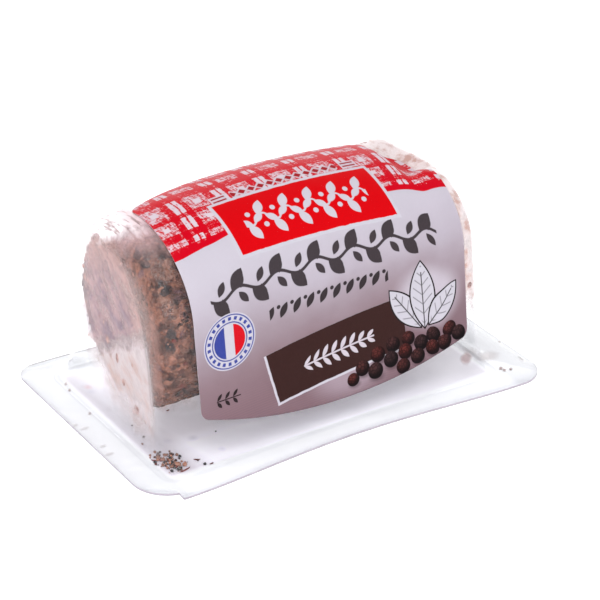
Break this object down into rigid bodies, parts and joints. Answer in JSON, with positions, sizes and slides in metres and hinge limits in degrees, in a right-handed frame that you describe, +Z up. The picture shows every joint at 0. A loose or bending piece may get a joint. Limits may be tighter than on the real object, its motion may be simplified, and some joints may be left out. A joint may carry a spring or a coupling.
{
  "type": "packed pepper goat cheese",
  "caption": "Small log of fresh goat cheese rolled in crushed pepper, sealed in a clear moulded dome on a white film, with a printed paper label wrapped over the dome.",
  "frame": {"origin": "middle of the underside of the white film, where the pack rests", "axes": "+X along the log towards the wider end of the flange, +Y towards the back, +Z up"},
  "size_m": [0.1, 0.066, 0.0501],
  "materials": {
    "film": "satin white film",
    "clear_plastic": "thin clear moulded plastic, glossy",
    "label_paper": "varnished printed paper",
    "cheese": "moist fresh cheese coated in crushed pepper"
  },
  "bodies": {
    "root": {"base_film": "film", "clear_dome": "clear_plastic", "label": "label_paper", "cheese_log": "cheese"}
  },
  "joints": []
}
